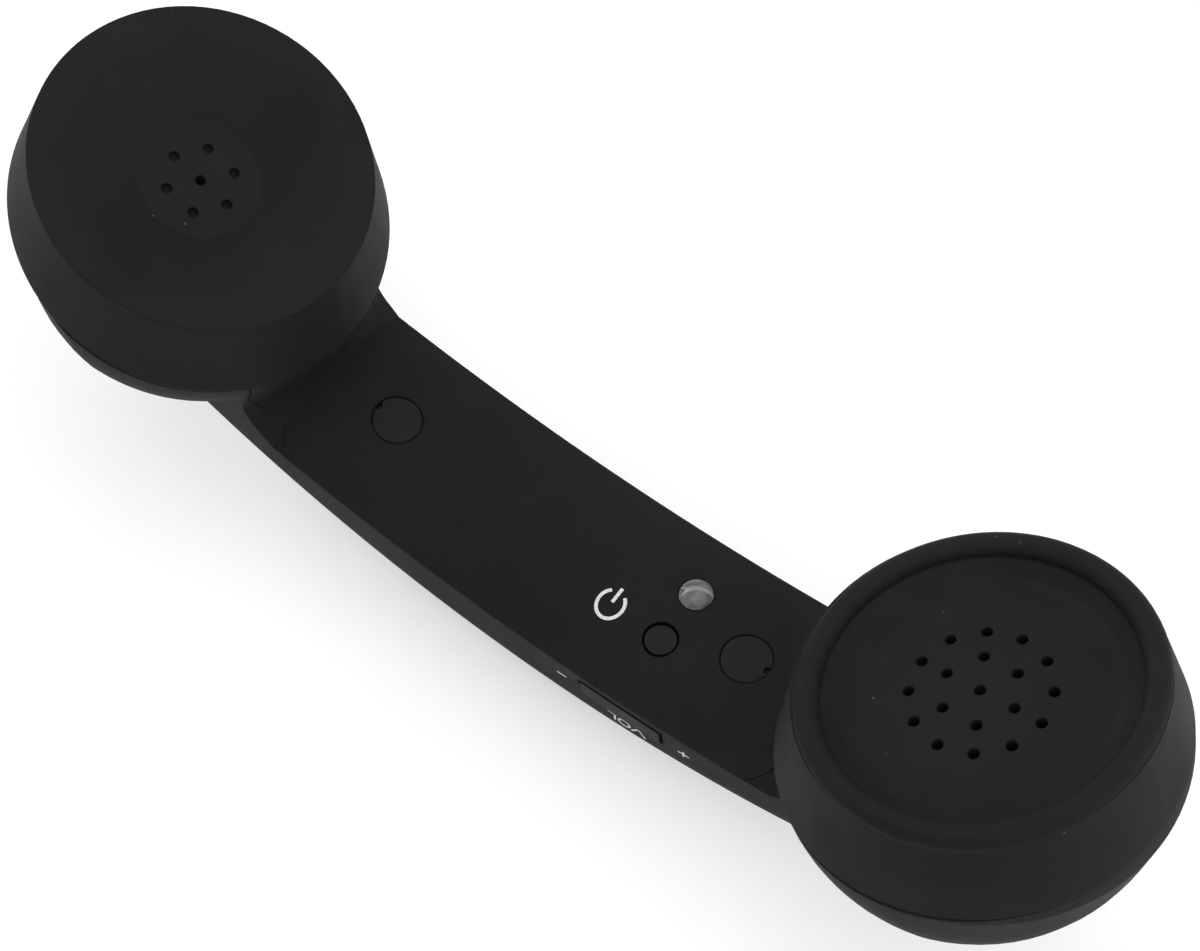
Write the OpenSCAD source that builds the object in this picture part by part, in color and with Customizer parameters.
// Wireless telephone handset with a hollow clamshell body, lying on its back.
// The frame is Z up, X from mouthpiece to earpiece, zero at the middle of the resting flat.
// All sizes are in millimetres.

/* [Body] */
// distance between the centres of the two rims
rim_spacing = 141.6; // [120:0.2:170]
// height of both rim centres above the resting flat
rim_height = 70; // [64:0.5:78]
// inward lean of the two speaking faces in degrees
cup_tilt = 22.5; // [18:0.5:26]
// distance of each seam centre from the middle
seam_x = 74.5; // [68:0.1:82]
// height of the mouthpiece seam centre above the resting flat
mouth_seam_z = 55.3; // [50:0.1:60]
// height of the earpiece seam centre above the resting flat
ear_seam_z = 54; // [50:0.1:60]
// radius of the mouthpiece cup at the seam
mouth_seam_radius = 30.9; // [28:0.1:33]
// radius of the earpiece cup at the seam
ear_seam_radius = 29.9; // [28:0.1:33]
// wall thickness of the moulded shells
wall = 2.2; // [1.8:0.1:2.8]
// shut line width between the two shells
shut_gap = 0.15; // [0.1:0.05:0.3]

/* [Handle] */
// half width of the handle at the parting line
handle_half = 16.85; // [14:0.05:19]
// height of the parting line above the resting flat in the middle
edge_z = 19.9; // [17:0.1:24]
// lengthwise radius of the parting line
edge_radius = 250; // [200:5:320]
// rise of the grip panel above the parting line
crown = 3.9; // [2:0.1:4.4]
// lengthwise radius of the back
back_radius = 150; // [146:1:156]
// depth of the resting flat cut into the back
rest_cut = 0.4; // [0.2:0.1:0.8]
// corner radius of the handle section
corner_radius = 10; // [9:0.5:13]
// draft of the side walls in degrees
wall_draft = 3; // [1:0.5:6]
// fillet radius between the cup skirts and the grip panel
neck_fillet = 8; // [6:0.5:10]

/* [Mouthpiece] */
// radius of the mouthpiece rim
mouth_rim = 27; // [25:0.1:29]
// height of the rim above the hole pattern
mouth_lift = 6.1; // [4:0.1:7]
// radius of the flat disc with the holes
mouth_disc = 9.6; // [8:0.1:12]
// radius where the conical dish meets the flat rim
mouth_dish = 21.8; // [19:0.1:24]
// radius of the ring of dimples
mouth_ring = 5.6; // [4:0.1:7]

/* [Earpiece] */
// radius of the rolled bead centre line
ear_bead = 24.2; // [23:0.1:25.5]
// section radius of the rolled bead
ear_bead_section = 1.9; // [1.6:0.1:2.4]
// height of the bead centre above the hole pattern
ear_lift = 1.9; // [1.4:0.1:5]
// radius of the inner ring of holes
ear_ring_inner = 5.7; // [5:0.1:6.5]
// radius of the outer ring of holes
ear_ring_outer = 10.1; // [9:0.1:11]
// turn of the hole pattern in degrees
ear_phase = -3.5; // [-15:0.5:15]
// diameter of every acoustic hole
hole_d = 1.7; // [1.2:0.1:2.2]

/* [Controls] */
// distance of the screw cover plugs from the middle
plug_x = 36.4; // [34:0.1:38]
// radius of the screw cover plugs
plug_radius = 4.2; // [3.6:0.1:4.8]
// thickness of the screw cover plugs
plug_thick = 1.5; // [1.2:0.1:2]
// distance of the call button and the lamp from the middle
button_x = 23; // [20:0.1:26]
// sideways distance of the call button and the lamp from the middle line
button_y = 4.97; // [4.5:0.05:6]
// radius of the call button cap
button_radius = 2.8; // [2.4:0.05:3]
// press travel of the call button
button_travel = 0.6; // [0.4:0.1:0.8]
// radius of the lamp lens
lamp_radius = 2.85; // [2.4:0.05:3]
// distance of the volume rocker from the middle
rocker_x = 23.7; // [20:0.1:26]
// length of the volume rocker
rocker_length = 16; // [14:0.5:18]
// height of the volume rocker
rocker_height = 3.9; // [3.4:0.1:4.6]
// depth of the volume rocker's centre line below the parting line
rocker_drop = 3.9; // [3.6:0.1:4.6]
// clearance round moving keys
key_gap = 0.35; // [0.3:0.05:0.5]

/* [Hidden] */

edge_center = edge_z + edge_radius;
back_center = back_radius - rest_cut;
panel_land = 0.3;
crown_rise = crown - panel_land;
crown_radius = (handle_half * handle_half + crown_rise * crown_rise) / (2 * crown_rise);
crown_path = edge_radius - crown;
neck_zone = 11.3;
neck_zone_x = seam_x - 32;
neck_zone_z = edge_center - sqrt(pow(edge_radius - neck_zone, 2) - pow(neck_zone_x, 2));
neck_join = neck_zone_x * edge_radius / (edge_radius - neck_zone);
neck_top_x = seam_x - 23.6;
back_sweep = 38;
corner_r = back_radius - corner_radius;
edge_r = back_radius - edge_z - rest_cut;
corner_y = handle_half - (corner_r - edge_r) * tan(wall_draft) - corner_radius / cos(wall_draft);
rim_x = rim_spacing / 2;
ear_depth = 4;
ear_crease = 0.3;
neck_depth = 17.8;
neck_slope = 20;
small = 0.01;
fine = 60;
coarse = 40;
plug_tilt = asin(plug_x / crown_path);
button_tilt = asin(button_x / crown_path);
button_sag = crown_radius - sqrt(pow(crown_radius, 2) - pow(button_y, 2));
button_side = asin(button_y / crown_radius);
plug_z = edge_center - sqrt(pow(crown_path, 2) - pow(plug_x, 2));
button_z = edge_center - sqrt(pow(crown_path + button_sag, 2) - pow(button_x, 2));
plug_gap = 0.14;
board_posts = [[-25, 8], [-25, -8], [12, 9]];
board_top = 13.2;
board_thick = 1.2;
// half width of the ribs over the battery, clear of the back shell's corners
rib_half = handle_half - wall - 3.2;
// depth of the call button's flange, clear of the crowned panel inside
flange_drop = wall + 1;
boss_radius = 3.4;
shank_radius = 1.25;
screw_gap = 0.05;
shell_color = [0.07, 0.07, 0.075];
key_color = [0.1, 0.1, 0.105];
metal_color = [0.7, 0.7, 0.72];
board_color = [0.05, 0.3, 0.15];

function seam_r(s) = s < 0 ? mouth_seam_radius : ear_seam_radius;
function seam_h(s) = s < 0 ? mouth_seam_z : ear_seam_z;
function dome_drop(s) = s < 0 ? 1.5 : 0.3;
function cup_shift(s) = s < 0 ? 2.8 : 1.2;
function seam_line(s, x) = seam_h(s) + (x - seam_x) * tan(cup_tilt);
function rim_r(s) = s < 0 ? mouth_rim : ear_bead + ear_bead_section + 0.05;
function rim_drop(s) = s < 0 ? 0 : ear_depth - ear_lift - ear_crease;
function skirt_height(s) = (rim_height - seam_h(s)) * cos(cup_tilt) + (seam_x - rim_x) * sin(cup_tilt) - rim_drop(s);
function lean(s) = atan((seam_x - rim_x) / (rim_height - seam_h(s)));

module on_seam(s) {
  translate([s * seam_x, 0, seam_h(s)])
    rotate([0, -s * cup_tilt, 0])
      children();
}

module on_face(s) {
  translate([s * rim_x, 0, rim_height])
    rotate([0, -s * cup_tilt, 0])
      translate([0, 0, s < 0 ? -mouth_lift : -ear_depth])
        children();
}

module lengthwise(r) {
  translate([0, 0, r])
    rotate([90, 0, 0])
      children();
}

// side view area of the front shell, grown by g
module front_zone(g) {
  reach = neck_zone_x + neck_zone + g - 0.3;
  top = neck_top_x + g;
  rotate([90, 0, 0])
    linear_extrude(height = 90, center = true) {
      intersection() {
        translate([0, edge_center])
          circle(r = edge_radius + g, $fn = 300);
        translate([-neck_join - 0.4, 0])
          square([2 * neck_join + 0.8, 110]);
      }
      for (s = [-1, 1]) {
        translate([s * neck_zone_x, neck_zone_z])
          circle(r = neck_zone + 0.04 + g, $fn = 48);
        polygon([[0, neck_zone_z + 1], [s * reach, neck_zone_z + 1], [s * top, seam_line(s, top) - g],
          [s * 130, seam_line(s, 130) - g], [s * 130, 110], [0, 110]]);
      }
    }
}

module handle_section(i) {
  drop = i / cos(wall_draft);
  top_r = edge_r - 60;
  top_y = handle_half + (edge_r - top_r) * tan(wall_draft) - drop;
  steps = i > 0 ? 5 : 9;
  arc = [for (k = [0:steps]) let(a = wall_draft + k * (90 - wall_draft) / steps)
    [corner_r + (corner_radius - i) * sin(a), corner_y + (corner_radius - i) * cos(a)]];
  mirrored = [for (k = [steps:-1:0]) [arc[k][0], -arc[k][1]]];
  polygon(concat([[top_r, top_y]], arc, mirrored, [[top_r, -top_y]]));
}

// everything above the crowned grip panel, lowered by i
module panel_tool(i) {
  lengthwise(edge_center)
    rotate([0, 0, -124])
      rotate_extrude(angle = 68, $fn = i > 0 ? 72 : 240)
        difference() {
          translate([crown_path - 90, -45])
            square([140, 90]);
          translate([crown_path + crown_radius, 0])
            circle(r = crown_radius - i, $fn = i > 0 ? 72 : 180);
        }
}

// skirt carried down to the grip panel with a hollow fillet
module neck(s, i) {
  mid = seam_r(s) - 0.1 - i + neck_fillet;
  turn = 90 - neck_slope;
  steps = i > 0 ? 4 : 8;
  low = neck_depth + i;
  arc = [for (k = [0:steps]) [mid - neck_fillet * cos(k * turn / steps), -(low - neck_fillet) - neck_fillet * sin(k * turn / steps)]];
  on_seam(s)
    rotate_extrude($fn = i > 0 ? coarse : 84)
      polygon(concat([[0, 1], [mid - neck_fillet - 0.5, 1], [mid - neck_fillet, 0]], arc, [[mid + 8, -low - 5], [0, -low - 5]]));
}

module handle(i) {
  difference() {
    lengthwise(back_center)
      rotate([0, 0, -90 - back_sweep])
        rotate_extrude(angle = 2 * back_sweep, $fn = i > 0 ? 72 : 180)
          handle_section(i);
    difference() {
      panel_tool(i);
      neck(-1, i);
      neck(1, i);
    }
    if (i == 0)
      translate([-60, -40, -20])
        cube([120, 80, 20]);
  }
}

// rounded cup of the back shell, its outer end kept upright below the seam
module dome(s, i) {
  d = dome_drop(s);
  full = seam_r(s) + 0.25;
  if (i > 0)
    on_seam(s)
      translate([-s * cup_shift(s) / 2, 0, 0])
        rotate_extrude($fn = coarse)
          intersection() {
            circle(r = seam_r(s) - i - cup_shift(s) / 2, $fn = coarse);
            translate([0, -40])
              square([40, 41]);
          }
  else
    intersection() {
      on_seam(s)
        rotate_extrude($fn = fine)
          intersection() {
            translate([0, -d])
              circle(r = sqrt(pow(seam_r(s), 2) + d * d), $fn = 64);
            translate([0, -40])
              square([40, 40]);
          }
      translate([s * (seam_x - cup_shift(s)), 0, seam_h(s) - 1])
        rotate_extrude($fn = fine)
          polygon(concat([[0, 16], [full, 16]], [for (k = [0:15]) [full * cos(6 * k), -full * sin(6 * k)]]));
    }
}

// leaning cone between the seam circle and the rim, cut by the two parallel planes
module skirt(s, i) {
  h = skirt_height(s);
  off = cup_tilt - lean(s);
  axis_h = h / cos(off);
  low_r = seam_r(s) * 0.995 - i;
  top_r = rim_r(s) * 0.995 - i;
  flare = (low_r - top_r) / axis_h;
  shift = flare * tan(off) * (low_r + top_r) / 2;
  over = 6;
  intersection() {
    translate([s * seam_x, 0, seam_h(s)])
      rotate([0, -s * lean(s), 0])
        translate([s * shift, 0, -over])
          cylinder(h = axis_h + 2 * over, r1 = low_r + over * flare, r2 = top_r - over * flare, $fn = i > 0 ? coarse : fine);
    on_seam(s)
      translate([0, 0, i > 0 ? -0.5 : 0])
        cylinder(h = h + (i > 0 ? 0.5 : 0), r = 50, $fn = 24);
  }
}

module mouth_hollow(i) {
  on_face(-1)
    rotate_extrude($fn = fine)
      polygon([[0, -i], [mouth_disc, -i], [mouth_dish, mouth_lift - 0.4 - i], [mouth_dish + 2, mouth_lift - i], [mouth_dish + 2, mouth_lift + 9], [0, mouth_lift + 9]]);
}

module mouth_lid(i) {
  on_face(-1)
    rotate_extrude($fn = coarse)
      polygon([[0, -i], [mouth_disc, -i], [mouth_dish + 1, mouth_lift - i], [mouth_rim + 9, mouth_lift - i], [mouth_rim + 9, 20], [0, 20]]);
}

module ear_hollow(i) {
  inner = ear_bead - ear_bead_section * 0.85;
  on_face(1)
    rotate_extrude($fn = fine)
      polygon([[0, 0.4], [ear_ring_inner, 0.3], [ear_ring_outer + 1, 0], [ear_ring_outer + 5, -0.35], [inner - 4, -0.5], [inner - 2.6, -0.2],
        [inner - 1, ear_lift - 1], [inner, ear_lift - 0.2], [inner, 12], [0, 12]]);
}

module ear_lid(i) {
  on_face(1)
    rotate_extrude($fn = coarse)
      polygon([[0, -0.6 - i], [ear_bead - 4, -0.6 - i], [ear_bead - 1.5, ear_lift - 0.4 - i], [ear_bead + 9, ear_lift - 0.4 - i], [ear_bead + 9, 20], [0, 20]]);
}

module bead() {
  on_face(1)
    rotate_extrude($fn = fine)
      translate([ear_bead, ear_lift])
        circle(r = ear_bead_section, $fn = 24);
}

module front_skirts() {
  difference() {
    skirt(-1, 0);
    mouth_hollow(0);
  }
  difference() {
    skirt(1, 0);
    ear_hollow(0);
  }
  bead();
}

module front_hollow() {
  handle(wall);
  difference() {
    skirt(-1, wall);
    mouth_lid(wall);
  }
  difference() {
    skirt(1, wall);
    ear_lid(wall);
  }
}

module on_plug(s) {
  translate([s * plug_x, 0, plug_z])
    rotate([0, -s * plug_tilt, 0])
      children();
}

module on_button(t) {
  translate([button_x, t * button_y, button_z])
    rotate([0, -button_tilt, 0])
      children();
}

module acoustic_holes() {
  on_face(-1) {
    translate([0, 0, -8])
      cylinder(h = 12, d = hole_d, $fn = 16);
    for (k = [0:5])
      rotate([0, 0, 60 * k])
        translate([mouth_ring, 0, -1.1])
          cylinder(h = 5, d = hole_d, $fn = 16);
  }
  on_face(1) {
    translate([0, 0, -8])
      cylinder(h = 12, d = hole_d, $fn = 16);
    for (k = [0:5])
      rotate([0, 0, 60 * k + ear_phase])
        translate([ear_ring_inner, 0, -8])
          cylinder(h = 12, d = hole_d, $fn = 16);
    for (k = [0:11])
      rotate([0, 0, 30 * k + ear_phase])
        translate([ear_ring_outer, 0, -8])
          cylinder(h = 12, d = hole_d, $fn = 16);
  }
}

// columns that take the case screws, cut back to the outside of the handle
module screw_columns() {
  intersection() {
    for (s = [-1, 1])
      translate([s * plug_x, 0, plug_z - 6.8])
        cylinder(h = 12, r = plug_radius + 1.5, $fn = 48);
    handle(0.6);
  }
}

module screw_pockets() {
  for (s = [-1, 1]) {
    on_plug(s)
      translate([0, 0, -plug_thick - 0.1])
        cylinder(h = 8, r = plug_radius + plug_gap, $fn = 48);
    translate([s * plug_x, 0, plug_z - 5])
      cylinder(h = 4.6, r = 2.7, $fn = 32);
    translate([s * plug_x, 0, plug_z - 8])
      cylinder(h = 6, r = shank_radius + screw_gap, $fn = 24);
  }
}

module front_ribs() {
  intersection() {
    union() {
      for (p = board_posts)
        translate([p[0], p[1], board_top + 0.05])
          cylinder(h = 12, r = 2.2, $fn = 28);
      for (x = [-19, 2])
        translate([x - 0.6, -rib_half, board_top + 3.5])
          cube([1.2, 2 * rib_half, 10]);
    }
    handle(0.6);
  }
  on_face(1)
    translate([0, 0, -7])
      difference() {
        cylinder(h = 5, r = 20.2, $fn = 72);
        translate([0, 0, -1])
          cylinder(h = 7, r = 18.8, $fn = 72);
      }
  on_face(-1)
    translate([0, 0, -5.2])
      difference() {
        cylinder(h = 4, r = 6, $fn = 40);
        translate([0, 0, -1])
          cylinder(h = 6, r = 4.65, $fn = 40);
      }
}

module front_shell() {
  color(shell_color)
    difference() {
      union() {
        difference() {
          union() {
            front_skirts();
            intersection() {
              handle(0);
              front_zone(0);
            }
          }
          front_hollow();
        }
        screw_columns();
        front_ribs();
      }
      screw_pockets();
      acoustic_holes();
      for (p = board_posts)
        translate([p[0], p[1], board_top])
          cylinder(h = 4.4, r = 0.8 + screw_gap, $fn = 20);
      on_button(-1) {
        translate([0, 0, -6])
          cylinder(h = 9, r = button_radius + 0.2, $fn = 40);
      }
      on_button(1)
        translate([0, 0, -6])
          cylinder(h = 9, r = lamp_radius + 0.1, $fn = 40);
    }
}

module on_rocker() {
  translate([rocker_x, 0, edge_center - sqrt(pow(edge_radius, 2) - pow(rocker_x, 2)) - rocker_drop])
    rotate([0, -asin(rocker_x / edge_radius), 0])
      children();
}

module on_socket() {
  translate([-seam_x, 0, mouth_seam_z])
    rotate([0, -118, 0])
      translate([0, 0, mouth_seam_radius - 1.8])
        children();
}

module slot_shape(w, h, depth) {
  linear_extrude(height = depth) {
    square([h, w - h], center = true);
    for (k = [-1, 1])
      translate([0, k * (w - h) / 2])
        circle(d = h, $fn = 24);
  }
}

module back_shell() {
  color(shell_color)
    difference() {
      union() {
        difference() {
          union() {
            handle(0);
            dome(-1, 0);
            dome(1, 0);
          }
          front_zone(shut_gap);
          handle(wall);
          dome(-1, wall);
          dome(1, wall);
        }
        for (s = [-1, 1])
          intersection() {
            translate([s * plug_x, 0, 2])
              cylinder(h = plug_z - 8.9, r = boss_radius, $fn = 36);
            handle(0.6);
          }
        intersection() {
          union() {
            for (x = [-29.5, 13.5])
              translate([x, -16, 0])
                cube([1.2, 32, 8]);
            on_rocker()
              for (z = [rocker_height / 2 + 0.35, -rocker_height / 2 - 1.35])
                translate([-2.5, -16, z])
                  cube([5, 4.8, 1]);
            on_rocker()
              for (x = [-9.8, 8.8])
                translate([x, -16.2, -4])
                  cube([1, 6.6, 6]);
          }
          handle(0.6);
        }
        intersection() {
          on_socket()
            for (y = [-6.4, 5.4])
              translate([-7, y, -12])
                cube([5.2, 1, 12]);
          dome(-1, 0.6);
        }
      }
      for (s = [-1, 1])
        translate([s * plug_x, 0, 6.5])
          cylinder(h = 20, r = shank_radius + screw_gap, $fn = 24);
      on_rocker() {
        translate([-rocker_length / 2 - 0.5, -24, -rocker_height / 2 - key_gap])
          cube([rocker_length + 1, 10, rocker_height + 2 * key_gap]);
        translate([0, -12.6, -5])
          cylinder(h = 10, r = 0.85, $fn = 20);
      }
      on_socket()
        translate([0, 0, -6])
          slot_shape(8.4, 3.2, 12);
    }
}

module cover_plug(s) {
  on_plug(s)
    difference() {
      intersection() {
        translate([0, 0, -plug_thick])
          cylinder(h = plug_thick + 2, r = plug_radius, $fn = 64);
        translate([-10, 0, -crown_radius - 0.1])
          rotate([0, 90, 0])
            cylinder(h = 20, r = crown_radius, $fn = 240);
      }
      translate([s * plug_radius, 0, -0.9])
        cylinder(h = 4, r = 0.8, $fn = 20);
    }
}

module plug_mouthpiece() {
  color(key_color)
    cover_plug(-1);
}

module plug_earpiece() {
  color(key_color)
    cover_plug(1);
}

module case_screws() {
  color(metal_color)
    for (s = [-1, 1])
      translate([s * plug_x, 0, plug_z - 5 + 0.02])
        difference() {
          union() {
            cylinder(h = 1.8, r = 2.4, $fn = 32);
            translate([0, 0, -11])
              cylinder(h = 11.5, r = shank_radius, $fn = 24);
          }
          for (a = [0, 90])
            rotate([0, 0, a])
              translate([-1.5, -0.3, 0.9])
                cube([3, 0.6, 2]);
        }
}

module call_button() {
  color(key_color)
    on_button(-1)
      difference() {
        union() {
          translate([0, 0, -flange_drop - 0.2])
            cylinder(h = flange_drop, r = button_radius - 0.15, $fn = 48);
          translate([0, 0, -flange_drop - 0.7])
            cylinder(h = 0.7, r = button_radius + 0.9, $fn = 48);
          translate([0, 0, -6.7])
            cylinder(h = 4, r = 1.3, $fn = 24);
        }
        translate([0, 0, 13.2])
          sphere(r = 13.6, $fn = 72);
      }
}

module button_switch() {
  color(metal_color)
    translate([button_x + 0.4, -button_y, board_top + 0.01]) {
      translate([-2.4, -2.4, 0])
        cube([4.8, 4.8, 2.4]);
      cylinder(h = 3.6, r = 1.1, $fn = 24);
    }
}

module lamp_lens() {
  color([0.85, 0.87, 0.9])
    on_button(1) {
      translate([0, 0, -3])
        cylinder(h = 2.9, r = lamp_radius, $fn = 48);
      intersection() {
        translate([0, 0, -4])
          sphere(r = 4.95, $fn = 64);
        translate([0, 0, -0.2])
          cylinder(h = 4, r = lamp_radius, $fn = 48);
      }
    }
}

module lamp_reflector() {
  color(metal_color)
    on_button(1)
      translate([0, 0, -8.6])
        difference() {
          cylinder(h = 5.5, r = lamp_radius, $fn = 36);
          translate([0, 0, -1])
            cylinder(h = 8, r = 2.2, $fn = 36);
        }
}

module lamp_led() {
  color([0.95, 0.95, 0.85])
    translate([button_x + 0.6, button_y + 0.1, board_top + 0.01]) {
      translate([-1.4, -1.4, 0])
        cube([2.8, 2.8, 1.2]);
      cylinder(h = 1.9, r = 1.2, $fn = 24);
    }
}

module volume_rocker() {
  color(key_color)
    on_rocker()
      difference() {
        union() {
          translate([-rocker_length / 2, -16.9, -rocker_height / 2])
            cube([rocker_length, 3.5, rocker_height]);
          translate([0, -12.6, -rocker_height / 2])
            cylinder(h = rocker_height, r = 1.6, $fn = 28);
          translate([-1.6, -14, -rocker_height / 2])
            cube([3.2, 1.4, rocker_height]);
        }
        translate([0, -12.6, -5])
          cylinder(h = 10, r = 0.85, $fn = 20);
      }
}

module rocker_pivot() {
  color(metal_color)
    on_rocker()
      translate([0, -12.6, -rocker_height / 2 - 1.3])
        cylinder(h = rocker_height + 2.6, r = 0.8, $fn = 20);
}

module volume_switches() {
  color(metal_color)
    on_rocker()
      for (k = [-1, 1])
        translate([5.6 * k, -11.9, 0]) {
          translate([-1.7, 0, -1.5])
            cube([3.4, 1.6, 3]);
          translate([-0.8, -0.7, -0.6])
            cube([1.6, 1, 1.2]);
        }
}

module volume_board() {
  color(board_color)
    on_rocker()
      translate([-8.6, -10.28, -3.6])
        cube([17.2, 1, 6.6]);
}

module main_board() {
  color(board_color)
    difference() {
      translate([-29.5, -12, board_top - board_thick])
        cube([59.5, 24, board_thick]);
      translate([13, -20, board_top - 3])
        cube([30, 11.4, 6]);
      for (p = board_posts)
        translate([p[0], p[1], board_top - 3])
          cylinder(h = 6, r = 0.8 + screw_gap, $fn = 20);
    }
}

module board_screws() {
  color(metal_color)
    for (p = board_posts)
      translate([p[0], p[1], board_top - board_thick - 0.02]) {
        translate([0, 0, -1])
          cylinder(h = 1, r = 1.5, $fn = 24);
        translate([0, 0, -0.5])
          cylinder(h = 5.5, r = 0.8, $fn = 20);
      }
}

module radio_can() {
  color(metal_color)
    translate([-16, -6, board_top + 0.01])
      cube([15, 12, 1.8]);
}

module battery() {
  color([0.75, 0.76, 0.78])
    translate([-27, -9, 5])
      cube([38, 18, 5.4]);
}

module battery_pad() {
  color([0.2, 0.2, 0.2])
    translate([-15, -4, 2.7])
      cube([14, 8, 2.28]);
}

module speaker_frame() {
  color([0.12, 0.12, 0.12])
    on_face(1)
      difference() {
        union() {
          translate([0, 0, -6.6])
            cylinder(h = 1.4, r = 18.4, $fn = 64);
          translate([0, 0, -11.4])
            cylinder(h = 5, r = 14.5, $fn = 56);
        }
        translate([0, 0, -10.2])
          cylinder(h = 6, r = 13.2, $fn = 56);
        for (k = [0:3])
          rotate([0, 0, 90 * k + 45])
            translate([10.4, 0, -12])
              cylinder(h = 3, r = 1.5, $fn = 20);
      }
}

module speaker_magnet() {
  color(metal_color)
    on_face(1)
      translate([0, 0, -15.6])
        difference() {
          cylinder(h = 4.15, r = 8.5, $fn = 48);
          translate([0, 0, -1])
            cylinder(h = 2, r = 1.5, $fn = 20);
        }
}

module speaker_cone() {
  color([0.16, 0.15, 0.14])
    on_face(1)
      rotate_extrude($fn = 56)
        polygon([[0, -6.6], [3.6, -7.2], [4, -8.9], [4.3, -8.9], [4.3, -8.2], [11.2, -6], [13, -6.3], [13, -6], [11.2, -5.6], [4.1, -6.9], [0, -6.2]]);
}

module speaker_gasket() {
  color([0.2, 0.2, 0.2])
    on_face(1)
      translate([0, 0, -5.15])
        difference() {
          cylinder(h = 1.6, r = 18.4, $fn = 56);
          translate([0, 0, -1])
            cylinder(h = 4, r = 14.6, $fn = 56);
        }
}

module earpiece_cloth() {
  color([0.15, 0.15, 0.16])
    on_face(1)
      translate([0, 0, -3.48])
        cylinder(h = 0.3, r = 16, $fn = 56);
}

module mic_boot() {
  color([0.16, 0.16, 0.16])
    on_face(-1)
      translate([0, 0, -6.3])
        difference() {
          cylinder(h = 4, r = 4.6, $fn = 40);
          translate([0, 0, -1])
            cylinder(h = 4, r = 3.05, $fn = 36);
          cylinder(h = 9, r = 0.85, $fn = 24);
        }
}

module microphone() {
  color(metal_color)
    on_face(-1)
      translate([0, 0, -6])
        difference() {
          cylinder(h = 2.6, r = 3, $fn = 36);
          translate([0, 0, 1.9])
            cylinder(h = 2, r = 0.8, $fn = 20);
        }
}

module charging_socket() {
  color(metal_color)
    on_socket()
      translate([0, 0, -7.4])
        difference() {
          slot_shape(7.8, 2.8, 6.6);
          translate([0, 0, 1])
            slot_shape(7.2, 2.2, 8);
        }
}

module charging_board() {
  color(board_color)
    on_socket()
      translate([-2.5, -5.2, -12.2])
        cube([1, 10.4, 8.6]);
}

front_shell();
back_shell();
plug_mouthpiece();
plug_earpiece();
case_screws();
call_button();
button_switch();
lamp_lens();
lamp_reflector();
lamp_led();
volume_rocker();
rocker_pivot();
volume_switches();
volume_board();
main_board();
board_screws();
radio_can();
battery();
battery_pad();
speaker_frame();
speaker_magnet();
speaker_cone();
speaker_gasket();
earpiece_cloth();
microphone();
mic_boot();
charging_socket();
charging_board();
